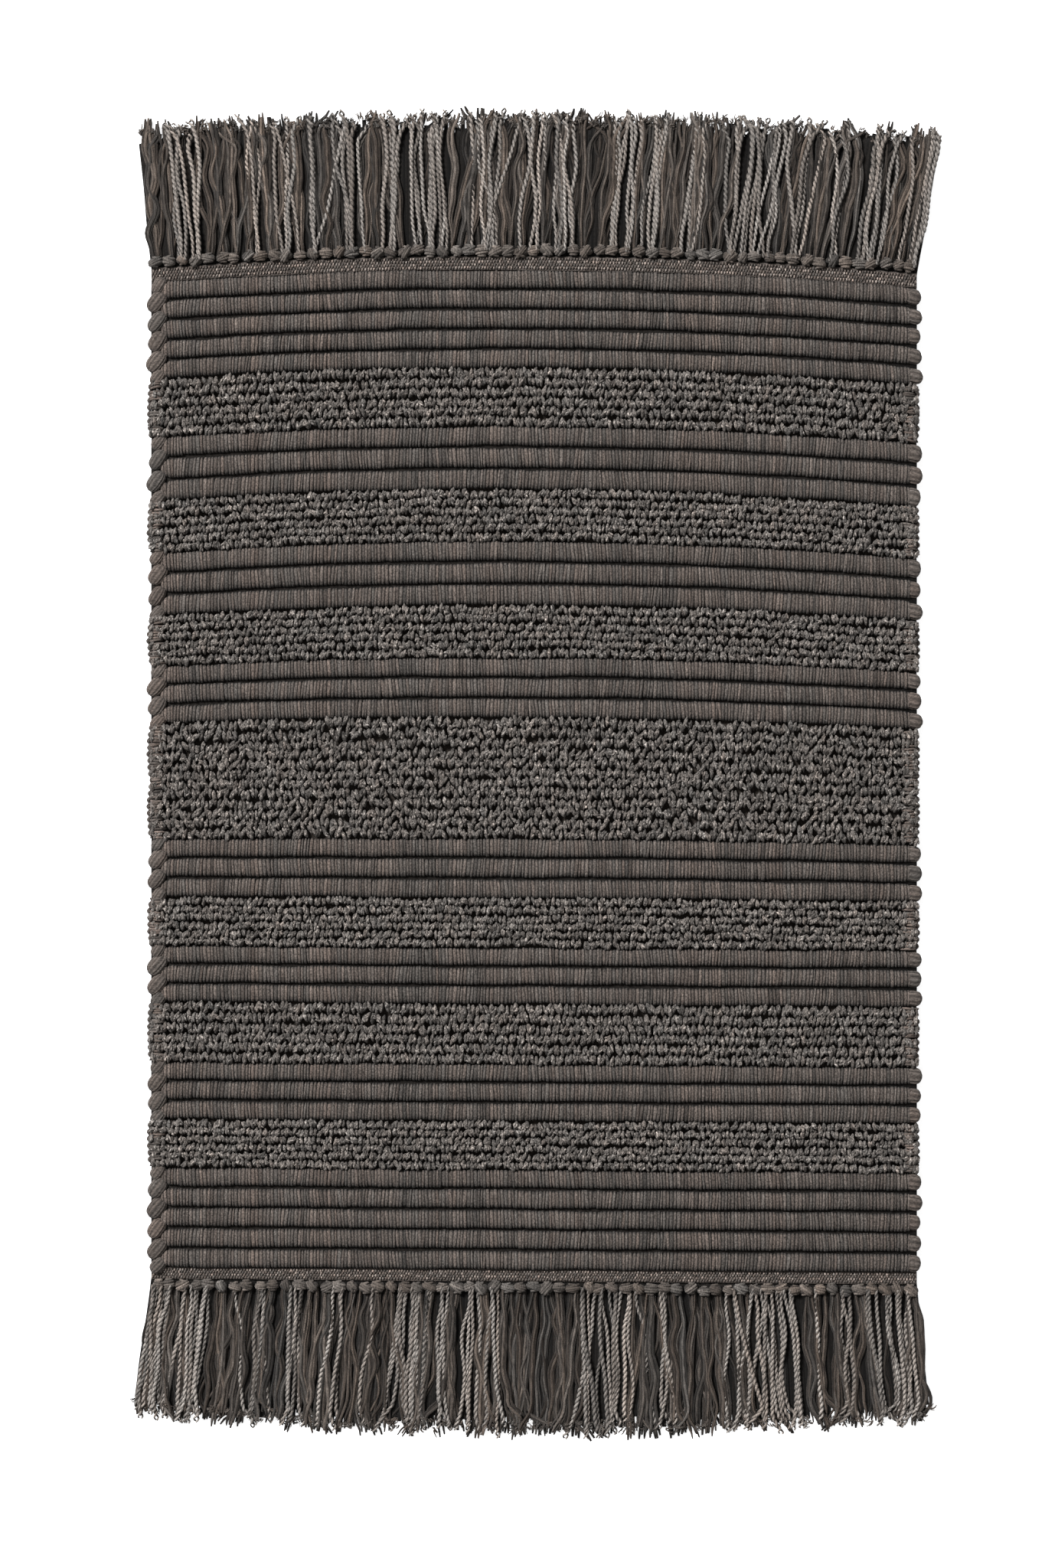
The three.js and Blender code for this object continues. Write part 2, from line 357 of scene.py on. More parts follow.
def lumps(bag, dice, start, end, half_across, half_up, ridges, sides):
    """Adds fat bundles of warp yarn from start to end to the bag, each with a ridge for each yarn."""
    count, rings = len(start), 13
    t = np.linspace(0, 1, rings)
    path = start[:, None] + (end - start)[:, None] * t[None, :, None]
    profile = np.clip(1 - np.abs(2 * t - 1) ** 3.2, 0.05, 1) ** 0.5
    angle = np.arange(sides) * 2 * np.pi / sides
    turn = dice.uniform(0, 2 * np.pi, (count, 1, 1)) + 0.5 * t[None, :, None]
    wave = np.cos(ridges * angle[None, None] + turn)
    rough = 1 + 0.07 * wave + 0.02 * dice.normal(0, 1, (count, 1, sides))
    tone = np.zeros((count, rings, sides, 2))
    own = 1 + dice.normal(0, 0.07, (count, 1, 1))
    # Painted shade: each lump is darker in the hollows between its yarn ridges and towards its thin ends.
    tone[..., 0] = own * (0.84 + 0.36 * wave) * (0.55 + 0.45 * profile[None, :, None])
    tone[..., 1] = dice.normal(0, 0.8, (count, 1, 1)) + dice.normal(0, 0.4, (count, 1, sides))
    along = (end - start)[:, None] * np.ones((1, rings, 1))
    along = along / np.linalg.norm(along, axis=2, keepdims=True)
    side = np.cross(along, (0, 0, 1))
    side /= np.linalg.norm(side, axis=2, keepdims=True)
    upward = np.cross(side, along)
    squarer = 2 / 2.5
    out = np.sign(np.cos(angle)) * np.abs(np.cos(angle)) ** squarer
    above = np.sign(np.sin(angle)) * np.abs(np.sin(angle)) ** squarer
    wide = (np.asarray(half_across)[:, None] * profile)[..., None] * rough * out
    high = (np.asarray(half_up)[:, None] * profile)[..., None] * rough * above
    points = path[:, :, None] + wide[..., None] * side[:, :, None] + high[..., None] * upward[:, :, None]
    bag.rings(points, tone)


def cord_turns_piece(order, group):
    """Where the filler cord of a group turns at the selvedges, wrapped by warp yarns."""
    name = f"cord_turns_{order:02d}"
    dice = dice_for(name)
    spans = np.array([middle_span(f"rib_cover_{rib:02d}") for rib in group])
    spans = spans[np.argsort(-spans[:, 0])]
    top = top_of(f"rib_cover_{group[0]:02d}")
    middle = spans.mean(1)
    half = np.diff(spans, axis=1)[:, 0] / 2
    bag = Bag()
    # At the right the cords show a little past the ribs, as round ends.
    count = len(group)
    start = np.stack([np.full(count, 290), middle + 0.5, np.full(count, top / 2)], axis=-1)
    end = np.stack([303.2 + dice.uniform(-1.2, 1.2, count), middle - 1 + dice.uniform(-0.7, 0.7, count),
                    np.full(count, top / 2)], axis=-1)
    lumps(bag, dice, start, end, half * dice.uniform(0.78, 0.92, count), np.full(count, top / 2 - 0.6), 9, 45)
    # At the left each turn is a slanting lump like a strand of a rope, one at every groove.
    grooves = np.concatenate([[spans[0, 1] - 4], (spans[1:, 1] + spans[:-1, 0]) / 2, [spans[-1, 0] + 4]])
    count = len(grooves)
    height = np.full(count, top / 2 - 0.2)
    start = np.stack([-299.5 + dice.uniform(-1.6, 1.0, count), grooves - 8, height], axis=-1)
    end = np.stack([-289.5 + dice.uniform(-0.8, 0.8, count), grooves + 6.5, height], axis=-1)
    fat = dice.uniform(5.5, 6.5, count)
    start[0, 1], end[-1, 1], fat[0], fat[-1] = grooves[0] - 5, grooves[-1] + 3, 5.0, 5.0
    start[[0, -1], 0] += 2
    lumps(bag, dice, start, end, fat, np.full(count, top / 2 - 0.7), 13, 52)
    piece = bag.build(name, cord_yarn)
    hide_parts(f"rib_filler_{order:02d}")
    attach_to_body(piece, body_of_group(group))
    return piece


# ---------------------------------------------------------------- chenille bands

def chenille_piece(band, body):
    """Rows of soft nubs. Each nub is a lumpy core with a few lobes over it."""
    node = f"chenille_{band}"
    name = f"pile_{band}"
    dice = dice_for(name)
    low, high = middle_span(node)
    bottom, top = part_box(node)[0].z * 1000 - 0.6, top_of(node)
    rows, per_row = 6, 184
    pitch = (high - low) / rows
    row = np.repeat(np.arange(rows), per_row)
    step = 2 * HALF_WIDTH / per_row
    x = np.tile(np.arange(per_row), rows) * step - HALF_WIDTH + 0.5 * step
    # The rows of the middle band have sunk into each other, so that its nubs line up in columns instead.
    sunk = band.startswith("centre")
    x = x + dice.uniform(-0.8, 0.8, len(x)) + np.repeat(dice.uniform(-2, 2, rows) * (not sunk), per_row)
    x = np.clip(x, -HALF_WIDTH + 1, HALF_WIDTH - 1)
    jitter = 2.3 if sunk else 1.4
    y = low + (0.42 + row * (rows - 0.84) / (rows - 1)) * pitch + dice.uniform(-jitter, jitter, len(x))
    y = y + 0.9 * np.concatenate([wander(dice, 1, per_row, 14)[0] for _ in range(rows)])
    count = len(x)
    wide = dice.uniform(1.5, 2.15, count)
    long = pitch * dice.uniform(0.48, 0.64, count)
    crest = top - bottom - dice.uniform(0, 2.2, count)
    heading = dice.normal(0, 0.3, count)
    along = np.stack([np.sin(heading), np.cos(heading), np.zeros(count)], axis=-1)
    beside = np.stack([np.cos(heading), -np.sin(heading), np.zeros(count)], axis=-1)
    # Painted light and shade: higher nubs are painted lighter, lower ones darker.
    own = (0.93 + dice.normal(0, 0.12, count)) * (0.74 + 0.48 * (crest - crest.min()) / np.ptp(crest))
    warm = dice.normal(0, 0.4, count) + 1.8 * (dice.random(count) < 0.04)

    bag = Bag()
    rings, sides = 5, 6
    t = np.linspace(-1, 1, rings)
    middle = np.stack([x, y, np.full(count, bottom)], axis=-1)
    path = middle[:, None] + along[:, None] * (long[:, None] * t)[..., None]
    round_ends = np.sqrt(1 - (0.95 * t) ** 2)
    path[..., 2] += 0.5 * crest[:, None]
    rough = 1 + dice.normal(0, 0.09, (count, rings, sides))
    tone = np.zeros((count, rings, sides, 2))
    # Painted shade: the core gets three quarters of its nub's shade, as it lies under the lobes.
    tone[..., 0] = (0.75 * own)[:, None, None] * (1 + dice.normal(0, 0.3, (count, rings, sides)))
    tone[..., 1] = warm[:, None, None]
    bag.tubes(path, wide[:, None] * round_ends, 0.5 * crest[:, None] * (0.35 + 0.65 * round_ends),
              tone, sides, rough=rough)

    # Soft lobes on top, where the pile has parted.
    lobes, rings, sides = 3, 4, 5
    t = np.linspace(-1, 1, rings)
    for k in range(lobes):
        off = (k - 1) * 0.5 * wide + dice.normal(0, 0.35, count)
        turn = dice.normal(0, 0.5, count)
        shift = dice.uniform(-0.42, 0.42, count) * long
        length = dice.uniform(1.1, 2.2, count)
        forward = along * np.cos(turn)[:, None] + beside * np.sin(turn)[:, None]
        place = middle + beside * off[:, None] + along * shift[:, None]
        path = place[:, None] + forward[:, None] * (length[:, None] * t)[..., None]
        lift = crest * (1 - 0.12 * (off / wide) ** 2 - 0.12 * (shift / long) ** 2)
        lift = lift - dice.uniform(0.3, 0.9, count)
        path[..., 2] += lift[:, None] * (1 - 0.06 * t ** 2)
        size = dice.uniform(0.65, 1.1, count)[:, None] * np.sqrt(1 - (0.93 * t) ** 2)
        # About one lobe in seven gets a painted highlight.
        light = own * dice.uniform(0.75, 1.35, count) + 0.75 * (dice.random(count) < 0.14)
        tone = np.zeros((count, rings, sides, 2))
        tone[..., 0] = light[:, None, None] * (1 + dice.normal(0, 0.34, (count, rings, sides)))
        tone[..., 1] = warm[:, None, None]
        rough = 1 + dice.normal(0, 0.1, (count, rings, sides))
        bag.tubes(path, size, 0.85 * size, tone, sides, rough=rough)

    piece = bag.build(name, chenille_yarn)
    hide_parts(node)
    return attach(piece, body)


def band_edge_piece(band, body):
    """The selvedge of a band: a lumpy outer cord, and the wefts that turn round it, row by row."""
    name = f"band_edge_{band}"
    dice = dice_for(name)
    low, high = middle_span(f"chenille_{band}")
    length = high - low
    bag = Bag()
    for side, bulge_height in ((-1, 2.2), (1, 0.9)):
        rings = int(length / 0.9)
        t = np.linspace(0, 1, rings)
        y = low + length * t
        bulge = bulge_height * np.sin(np.pi * t) ** 0.7
        beat = np.cos(2 * np.pi * y / 5.4 + dice.uniform(0, 6))
        x = side * (HALF_WIDTH - 1.2 + bulge + 0.35 * beat + 0.4 * wander(dice, 1, rings, 8)[0])
        path = np.stack([x, y, 3.4 + 0.4 * wander(dice, 1, rings, 8)[0]], axis=-1)[None]
        size = 1.45 + 0.5 * beat
        # The cord's shade follows its lumps: painted light on the fat parts, painted shade in the thin ones.
        tone = np.stack([0.55 + 0.2 * beat, np.full(rings, -0.4)], axis=-1)[None]
        bag.tubes(path, size[None], 1.35 * size[None], tone, 8)
        # Three yarns to a turn, and about one turn for each row of pile.
        yarns = int(length / 2.3)
        y = low + (np.arange(yarns) + 0.5) * length / yarns + dice.uniform(-0.4, 0.4, yarns)
        bulge = bulge_height * np.sin(np.pi * (y - low) / length) ** 0.7
        rings = 9
        t = np.linspace(0, 1, rings)
        inner = dice.uniform(9, 13, yarns)
        reach = inner[:, None] * (1 - t) - 0.6
        x = side * (HALF_WIDTH - 1.5 + bulge[:, None] - reach)
        lift = 8.6 * np.sin(np.pi * (0.18 + 0.74 * t)) ** 0.8
        skew = dice.uniform(-1.2, 1.2, yarns)[:, None] * (1 - t)
        run = y[:, None] + skew + 0.35 * wander(dice, yarns, rings, 3)
        path = np.stack([x, run, lift + 0 * x], axis=-1)
        turn = np.arange(yarns) // 3
        shade = (0.95 + dice.normal(0, 0.22, turn.max() + 1))[turn] * dice.uniform(0.85, 1.15, yarns)
        warm = dice.choice([-0.8, 0.4, 2.0, 2.8], turn.max() + 1)[turn]
        tone = np.stack([np.clip(shade, 0.45, 1.7), warm], axis=-1)
        bag.tubes(path, 1.0, 0.95, tone, 6)
    piece = bag.build(name, cord_yarn)
    return attach(piece, body)


def attach(piece, body):
    """body None means that the piece crosses the fold. It gets no body, and its transform is baked into its
    mesh.
    """
    if body is None:
        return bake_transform(piece)
    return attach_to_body(piece, body)


# ---------------------------------------------------------------- ground weave and headings

def ground_piece():
    """One thin cloth from heading to heading. It lies low under the pile, and halfway up between the ribs."""
    name = "ground_cloth"
    low = middle_span("heading_near")[0]
    high = middle_span("heading_far")[1]
    upper = np.linspace(HALF_WIDTH - 0.5, -HALF_WIDTH + 0.5, 14)
    lower = np.linspace(-HALF_WIDTH + 0.5, HALF_WIDTH - 0.5, 72)
    y = np.linspace(low, high, 1100)
    lift = np.zeros(len(y))
    for group in RIB_GROUPS:
        spans = [middle_span(f"rib_cover_{rib:02d}") for rib in group]
        start, end = min(s[0] for s in spans), max(s[1] for s in spans)
        lift = np.maximum(lift, smooth((y - start) / 5) * smooth((end - y) / 5))
    floor_gap, thickness = 0.12, 2.0
    under = floor_gap + 2.4 * lift
    dice = dice_for(name)
    # Its wefts show as ridges below. Above, they are out of sight under the pile.
    weft = 0.5 + 0.5 * np.cos(2 * np.pi * y / 3.2 + 1.5 * wander(dice, 1, len(y), 90)[0])
    relief = 0.32 * (1 - weft[:, None]) + 0.1 * dice.random((len(y), len(lower)))
    x = np.concatenate([upper, lower])
    z = np.concatenate([np.tile((under + thickness)[:, None], len(upper)), under[:, None] + relief], axis=1)
    points = np.stack([np.broadcast_to(x, z.shape), np.broadcast_to(y[:, None], z.shape), z], axis=-1)
    tone = np.zeros((*points.shape[:2], 2))
    # Painted shade: the upper side is dark, and darkest under the ribs, where it shows only at the bottom of
    # the grooves.
    tone[..., 0] = 0.8 - 0.6 * lift[:, None]
    warp_shade = 1 + 0.12 * dice.normal(0, 1, len(lower))
    # Painted shade on the underside as well: lighter on the weft ridges, darker in the hollows between them
    # and where the cloth is lifted under the ribs.
    tone[:, len(upper):, 0] = (0.9 + 1.2 * weft[:, None]) * warp_shade * (1 - 0.5 * lift[:, None])
    tone[:, len(upper):, 1] = dice.normal(0, 0.8, len(lower))
    bag = Bag()
    bag.rings(points[None], tone[None])
    piece = bag.build(name, ground_yarn)
    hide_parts(*[f"ground_weave_{band}" for band in BANDS])
    return attach(piece, None)


def heading_piece(end, body):
    """Plain weave between the last rib and the knots: rows of short floats over the thin wefts."""
    node = f"heading_{end}"
    name = f"floats_{end}"
    dice = dice_for(name)
    low, high = middle_span(node)
    top = top_of(node)
    rows = 4
    pitch = (high - low) / rows
    per_row = 262
    step = 2 * (HALF_WIDTH - 1) / per_row
    row = np.repeat(np.arange(rows), per_row)
    x = np.tile(np.arange(per_row), rows) * step - HALF_WIDTH + 1 + step * (0.25 + 0.5 * (row % 2))
    x = x + dice.normal(0, 0.18, len(x))
    y = low + (row + 0.5) * pitch + dice.normal(0, 0.16, len(x))
    count, rings = len(x), 5
    t = np.linspace(-1, 1, rings)
    long = dice.uniform(0.42, 0.56, count) * pitch
    lean = dice.normal(0, 0.12, count)
    path = np.stack([x[:, None] + lean[:, None] * t, y[:, None] + long[:, None] * t,
                     top - 0.1 + 1.2 * (1 - 0.75 * t ** 2) + 0 * x[:, None]], axis=-1)
    size = dice.uniform(0.62, 0.92, count)[:, None] * np.sqrt(1 - (0.88 * t) ** 2)
    from_knots = row if end == "near" else rows - 1 - row
    chance = np.array([0.1, 0.5, 0.12, 0.6])[from_knots]
    lit = 1.1 + 1.9 * (dice.random(count) < chance) * dice.uniform(0.4, 1.1, count)
    tone = np.stack([lit, dice.normal(0, 0.8, count)], axis=-1)
    bag = Bag()
    bag.tubes(path, size, size, tone, 6)
    # The thin wefts that the floats cross.
    rings = 120
    y = low + np.arange(rows + 1) * pitch
    t = np.linspace(-1, 1, rings)
    path = np.stack([np.broadcast_to(t * (HALF_WIDTH - 0.5), (len(y), rings)),
                     y[:, None] + 0.3 * wander(dice, len(y), rings, 30),
                     top - 0.2 + 0.2 * wander(dice, len(y), rings, 60)], axis=-1)
    bag.tubes(path, 1.15, 0.9, np.tile([0.75, 0.0], (len(y), 1)), 6)
    piece = bag.build(name, warp_yarn)
    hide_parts(node)
    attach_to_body(piece, body)
    return piece


# ---------------------------------------------------------------- knots and fringe

def knot_places():
    pitch = 2 * HALF_WIDTH / KNOTS
    return -HALF_WIDTH + (np.arange(KNOTS) + 0.5) * pitch


def knots_piece(end, body):
    """A row of overhand knots: a round core under five turns of yarn, each knot at a slant of its own."""
    node = f"knots_{end}"
    name = f"tied_knots_{end}"
    dice = dice_for(name)
    low, high = middle_span(node)
    top = top_of(node)
    side = 1 if end == "far" else -1
    x = knot_places() + dice.normal(0, 0.8, KNOTS)
    y = (low + high) / 2 + dice.normal(0, 0.6, KNOTS)
    own = 1.1 + dice.normal(0, 0.2, KNOTS)
    warm = dice.normal(0.2, 1.0, KNOTS)
    half_x, half_y = dice.uniform(4.4, 6.4, KNOTS), dice.uniform(3.4, 4.6, KNOTS)
    bag = Bag()
    rings, sides = 9, 12
    t = np.linspace(-1, 1, rings)
    swell = np.sqrt(1 - (0.95 * t) ** 2)
    path = np.stack([x[:, None] + half_x[:, None] * t, y[:, None] + 0 * t,
                     np.full((KNOTS, rings), top / 2)], axis=-1)
    rough = 1 + dice.normal(0, 0.05, (KNOTS, rings, sides))
    # Painted shade: the core has half the knot's shade, where it shows between the wraps.
    bag.tubes(path, half_y[:, None] * swell * 0.9, (top / 2 - 0.5) * swell + 0 * x[:, None],
              np.stack([0.5 * own, warm], axis=-1), sides, rough=rough)
    slant = dice.normal(0.25, 0.5, KNOTS) * side
    wraps, rings = 5, 9
    bend = np.linspace(-1.2, 1.2, rings)
    for k in range(wraps):
        off = (k - 2) / 2 * 0.8 + dice.normal(0, 0.05, KNOTS)
        turn = slant * (1 if k % 4 else -0.5) + dice.normal(0, 0.12, KNOTS)
        over = np.sqrt(1 - off ** 2)
        run = np.stack([np.cos(turn), np.sin(turn)], axis=-1)
        sideways = np.stack([-np.sin(turn), np.cos(turn)], axis=-1)
        flat = (run[:, None] * (half_x * over)[:, None, None] * np.sin(bend)[None, :, None]
                + sideways[:, None] * (half_y * off)[:, None, None])
        place = np.stack([x[:, None] + flat[..., 0], y[:, None] + flat[..., 1],
                          top / 2 + (top / 2 - 0.7) * over[:, None] * np.cos(bend)], axis=-1)
        light = own * dice.uniform(0.75, 1.2, KNOTS) + 0.8 * (dice.random(KNOTS) < 0.1)
        size = dice.uniform(0.9, 1.3, KNOTS)[:, None] * (1 - 0.3 * np.abs(bend / 1.2) ** 3)
        bag.tubes(place, size, size, np.stack([light, warm], axis=-1), 8)
    piece = bag.build(name, fringe_yarn)
    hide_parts(node)
    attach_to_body(piece, body)
    return piece


def fringe_reach(end):
    """Straight y of the roots, hidden under the knots, and of the tips."""
    low, high = middle_span(f"fringe_{end}")
    return (low - 4, high + 3) if end == "far" else (high + 4, low + 3)


def tips_of(x0, end, jitter):
    """Where yarns that start at x0 end up: a little further out, and with a slight lean to one side."""
    lean, out = (4, 312) if end == "far" else (-2, 309.5)
    return np.clip(x0 * out / (HALF_WIDTH - 2) + lean + jitter, lean - out, lean + out)


def hang(dice, end, x0, x1, samples, sway, knots, uneven, short=0, hidden=0):
    """Level paths of loose warp ends, from under their knots to the tips. uneven and short are how much the
    lengths differ and how much they fall short, in hundredths. hidden is how far the roots go in further."""
    root, tip = fringe_reach(end)
    root -= np.sign(tip) * hidden
    count = len(x0)
    t = np.linspace(0, 1, samples)
    tips = tip + (root - tip) / 100 * (dice.normal(0, uneven, count).clip(-5, 9) + short)
    free = smooth(t / 0.25)
    if end == "near":
        tips = tips + NEAR_TIP_BOW * (x1 / HALF_WIDTH) ** 2
    x = x0[:, None] * (1 - t) + x1[:, None] * t + sway * free * wander(dice, count, samples, knots)
    y = root + (tips - root)[:, None] * t
    return x, y, t


def twisted_knots(end):
    """Which knots gather twisted yarns. The others gather looser ones."""
    return dice_for(f"tails_{end}").random(KNOTS) < 0.5


def hook(dice, t, x1, reach):
    """A sideways curl over the last part of each yarn, never out past the sides of the mat."""
    curl = dice.normal(0, reach, len(x1)) * np.where(dice.random(len(x1)) < 0.3, 2.4, 1)
    curl = np.where(np.abs(x1) > 285, -np.sign(x1) * np.abs(curl), curl)
    return curl[:, None] * smooth((t - 0.84) / 0.16) ** 1.5


def twisted_piece(end, body):
    """Two-ply yarns, whose plies open at the tips."""
    name = f"fringe_twisted_{end}"
    dice = dice_for(name)
    twisted = knot_places()[twisted_knots(end)]
    x0 = np.concatenate([np.tile(twisted, 3), dice.choice(knot_places(), 24)])
    count = len(x0)
    x0 = x0 + dice.uniform(-4, 4, count)
    stray = np.where(dice.random(count) < 0.4, 11, 4)
    x1 = tips_of(x0, end, stray * dice.normal(0, 1, count))
    samples, plies = 96, 2
    x, y, t = hang(dice, end, x0, x1, samples, 3.2, 3, uneven=4, hidden=2)
    x = x + hook(dice, t, x1, 3)
    z = 4.6 + 0.8 * wander(dice, count, samples, 6) + dice.uniform(-1.4, 1.0, count)[:, None]
    z = z + 2.2 * (1 - smooth(t / 0.1))
    turns = np.abs(y - y[:, :1]) / dice.uniform(8.4, 10.2, count)[:, None]
    angle = 2 * np.pi * (turns + dice.random((count, 1)))
    opening = smooth((t - 0.92) / 0.08)
    size = dice.uniform(0.94, 1.22, count)[:, None] * (0.82 + 0.18 * smooth(t / 0.4))
    light = np.clip(2.2 + dice.normal(0, 0.5, count), 1.0, 3.2)
    warm = dice.normal(-1.1, 0.5, count)
    bag = Bag()
    for ply in np.arange(plies) * 2 * np.pi / plies:
        off = 0.74 * size * (1 + 1.3 * opening)
        place = np.stack([x + off * np.cos(angle + ply), y, z + 0.9 * off * np.sin(angle + ply)], axis=-1)
        thick = size * (1 - 0.35 * opening)
        tone = np.zeros((count, samples, 2))
        # Painted light and shade: each ply is lighter where it lies on top of the yarn and darker where it
        # turns under, and the yarn darkens near its root under the knots.
        tone[..., 0] = light[:, None] * (0.72 + 0.72 * np.sin(angle + ply)) * (0.75 + 0.25 * smooth(t / 0.15))
        tone[..., 1] = warm[:, None]
        bag.tubes(place, thick, thick, tone, 4)
    piece = bag.build(name, fringe_yarn)
    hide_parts(f"fringe_{end}")
    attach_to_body(piece, body)
    return piece


def ribbon_piece(end, body):
    """Loose warp yarns that keep together in soft ribbons, as they lay side by side over the ribs."""
    name = f"fringe_ribbons_{end}"
    dice = dice_for(name)
    loose = knot_places()[~twisted_knots(end)]
    edge = np.array([-1, -1, 1, 1]) * (HALF_WIDTH - 3)
    upper = np.concatenate([np.tile(loose, 3), dice.choice(knot_places(), 12), edge])
    lower = dice.choice(knot_places(), 75)
    centre = np.concatenate([upper, lower])
    count = len(centre)
    centre = np.clip(centre + dice.uniform(-4.4, 4.4, count), -HALF_WIDTH + 2, HALF_WIDTH - 2)
    stray = np.where(dice.random(count) < 0.4, 12, 4.5)
    spread = tips_of(centre, end, stray * dice.normal(0, 1, count))
    samples, each, sides = 28, 3, 6
    x, y, t = hang(dice, end, centre, spread, samples, 3.6, 5, uneven=4.5)
    x = x + hook(dice, t, spread, 3.5)
    above = np.arange(count) < len(upper)
    height = np.where(above, dice.uniform(0.35, 1, count), dice.uniform(0, 0.3, count))
    lift = 2.2 + 2.9 * height[:, None] + 0.6 * wander(dice, count, samples, 4)
    half = dice.uniform(1.3, 2.2, count)[:, None] * (0.6 + 0.4 * smooth(t / 0.45))
    # Painted shade: the lower ribbons get under a third of the upper ones' shade, as they lie below them.
    shade = np.clip(np.where(above, 0.86, 0.28) * (1 + dice.normal(0, 0.3, count)), 0.2, 1.6)
    warm = np.where(dice.random(count) < 0.6, dice.normal(1.4, 0.7, count), dice.normal(-0.2, 0.7, count))
    parting = smooth((t - dice.uniform(0.5, 0.9, count)[:, None]) / 0.2)
    bag = Bag()
    for k in range(each):
        place_across = k - 1
        wave = 0.25 * wander(dice, count, samples, 8) + dice.normal(0, 1.0, count)[:, None] * parting
        short = dice.uniform(-2, 3.5, count)[:, None] * t
        place = np.stack([x + place_across * half + wave, y - np.sign(y) * short,
                          lift - 0.9 * place_across ** 2 + 0.2 * wander(dice, count, samples, 6)], axis=-1)
        size = 0.66 * half * (1 + dice.normal(0, 0.06, (count, samples)))
        size = size * (1 - 0.4 * smooth((t - 0.94) / 0.06))
        # Painted shade: the outer yarns of a ribbon are darker, where the ribbons meet, and every yarn
        # darkens near its root under the knots.
        own = shade * dice.uniform(0.82, 1.18, count) * (1 - 0.55 * place_across ** 2)
        tone = np.zeros((count, samples, sides, 2))
        tone[..., 0] = (own[:, None] * (0.75 + 0.25 * smooth(t / 0.2)))[..., None]
        tone[..., 0] *= 1 + dice.normal(0, 0.28, (count, samples, sides))
        tone[..., 1] = warm[:, None, None]
        bag.tubes(place, size, 0.8 * size, tone, sides)
    piece = bag.build(name, soft_yarn)
    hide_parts(f"fringe_{end}")
    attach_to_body(piece, body)
    return piece


def fine_piece(end, body):
    """The yarns below the ribbons, close together and in shade, and the frayed ends at the tips."""
    name = f"fringe_fine_{end}"
    dice = dice_for(name)
    bag = Bag()
    count, samples, sides = 500, 16, 6
    x0 = np.linspace(-HALF_WIDTH + 2, HALF_WIDTH - 2, count)
    tips = tips_of(x0, end, dice.normal(0, 0.5, count))
    x, y, t = hang(dice, end, x0, tips, samples, 0.4, 3, uneven=4, short=7, hidden=8)
    z = 1.2 + 0.3 * wander(dice, count, samples, 3)
    tone = np.zeros((count, samples, sides, 2))
    # Their upper sides are in the shade of the ribbons. Their lower sides are the underside of the fringe.
    tone[..., 0] = dice.uniform(0.02, 0.12, count)[:, None, None]
    tone[..., 4:, 0] = dice.uniform(0.6, 1.1, count)[:, None, None]
    tone[..., 1] = dice.normal(0.4, 0.8, count)[:, None, None]
    bag.tubes(np.stack([x, y, z], axis=-1), 1.6, 0.85, tone, sides)
    # Frayed ends, in small tufts that curl the same way.
    tufts, each, samples = 190, 6, 6
    _, tip = fringe_reach(end)
    side = np.sign(tip)
    t = np.linspace(0, 1, samples)
    middle = tips_of(np.linspace(-HALF_WIDTH, HALF_WIDTH, tufts), end, dice.normal(0, 2, tufts))
    start = tip - side * dice.uniform(2, 9, tufts)
    if end == "near":
        start = start + NEAR_TIP_BOW * (middle / HALF_WIDTH) ** 2
    heading, curl = dice.normal(0, 0.6, tufts), dice.normal(0, 2.6, tufts)
    length, height = dice.uniform(3, 7, tufts), dice.uniform(2.2, 5.5, tufts)
    shade, warm = dice.uniform(0.5, 1.3, tufts), dice.normal(0, 0.9, tufts)
    for k in range(each):
        first = heading + dice.normal(0, 0.25, tufts)
        turn = first[:, None] + (curl + dice.normal(0, 0.5, tufts))[:, None] * t
        reach = (length * dice.uniform(0.6, 1.2, tufts))[:, None]
        sideways = reach * np.cumsum(np.sin(turn), axis=1) / samples
        outward = side * reach * np.cumsum(np.cos(turn), axis=1) / samples
        x = (middle + dice.normal(0, 1.1, tufts))[:, None] + sideways
        y = (start + dice.normal(0, 1, tufts))[:, None] + outward
        z = (height + dice.normal(0, 0.5, tufts))[:, None] + dice.uniform(-1, 0.6, tufts)[:, None] * t
        size = dice.uniform(0.3, 0.8, tufts)[:, None] * (1 - 0.5 * t)
        tone = np.stack([shade * dice.uniform(0.7, 1.3, tufts), warm], axis=-1)
        bag.tubes(np.stack([x, y, z], axis=-1), size, size, tone, 4)
    piece = bag.build(name, fringe_yarn)
    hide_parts(f"fringe_{end}")
    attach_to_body(piece, body)
    return piece


# ---------------------------------------------------------------- the whole mat

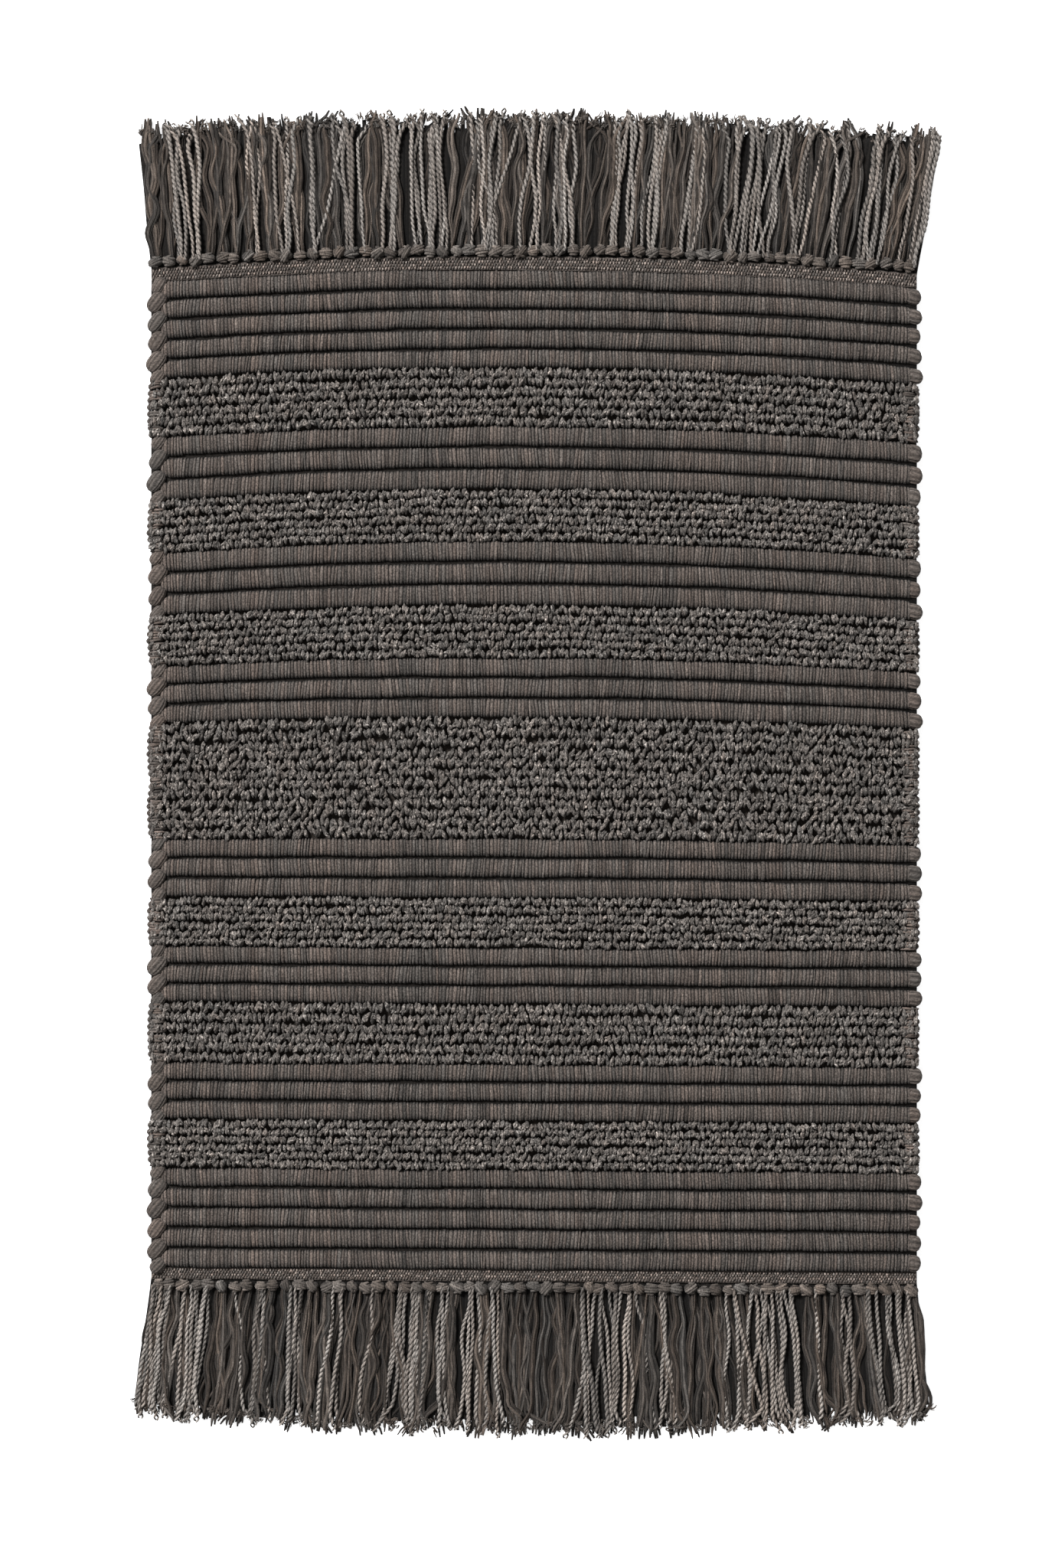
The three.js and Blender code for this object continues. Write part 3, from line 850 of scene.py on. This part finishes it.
on_the_cloth = []
for order, group in enumerate(RIB_GROUPS, 1):
    for rib in group:
        rib_piece(rib, body_of_group(group))
    cord_turns_piece(order, group)
for band in BANDS:
    # The two middle bands meet at the fold, so they get no body.
    body = None if band.startswith("centre") else "far_half" if band in ("1", "2", "3") else "near_half"
    on_the_cloth.append(chenille_piece(band, body))
    on_the_cloth.append(band_edge_piece(band, body))
for end, body in (("far", "far_half"), ("near", "near_half")):
    on_the_cloth += [heading_piece(end, body), knots_piece(end, body)]
    on_the_cloth += [twisted_piece(end, body), ribbon_piece(end, body), fine_piece(end, body)]
cloth = ground_piece()

# ---------------------------------------------------------------- floor, light and camera, in metres

floor_mesh = bpy.data.meshes.new("floor")
floor_mesh.from_pydata([(-30, -30, 0), (30, -30, 0), (30, 30, 0), (-30, 30, 0)], [], [(0, 1, 2, 3)])
floor = bpy.data.objects.new("floor", floor_mesh)
bpy.context.scene.collection.objects.link(floor)
paper = bpy.data.materials.new("paper")
paper.use_nodes = True
paper_shader = paper.node_tree.nodes["Principled BSDF"]
paper_shader.inputs["Base Color"].default_value = (0.86, 0.86, 0.86, 1)
paper_shader.inputs["Roughness"].default_value = 0.9
paper_shader.inputs["Emission Color"].default_value = (1, 1, 1, 1)
paper_shader.inputs["Emission Strength"].default_value = 0.75
floor_mesh.materials.append(paper)

world = bpy.data.worlds.new("studio")
world.use_nodes = True
background = world.node_tree.nodes["Background"]
background.inputs["Color"].default_value = (1, 1, 1, 1)
background.inputs["Strength"].default_value = 0.38
bpy.context.scene.world = world


def soft_box(name, place, aim, size, power):
    light = bpy.data.lights.new(name, "AREA")
    light.shape = "SQUARE"
    light.size = size
    light.energy = power
    lamp = bpy.data.objects.new(name, light)
    lamp.location = place
    direction = np.array(aim, float) - np.array(place, float)
    lamp.rotation_euler = (math.atan2(math.hypot(direction[0], direction[1]), -direction[2]), 0,
                           math.atan2(direction[1], direction[0]) - math.pi / 2)
    bpy.context.scene.collection.objects.link(lamp)


soft_box("key", (-4.6, 4.6, 6.2), (0, 0, 0), 2.2, 1380)

camera_data = bpy.data.cameras.new("camera")
camera_data.lens = 85
camera_data.sensor_width = 36
camera = bpy.data.objects.new("camera", camera_data)
camera.location = (-0.0090, -0.0045, 2.90)
bpy.context.scene.collection.objects.link(camera)
bpy.context.scene.camera = camera
bpy.context.scene.view_settings.view_transform = "Standard"
bpy.context.scene.view_settings.look = "None"
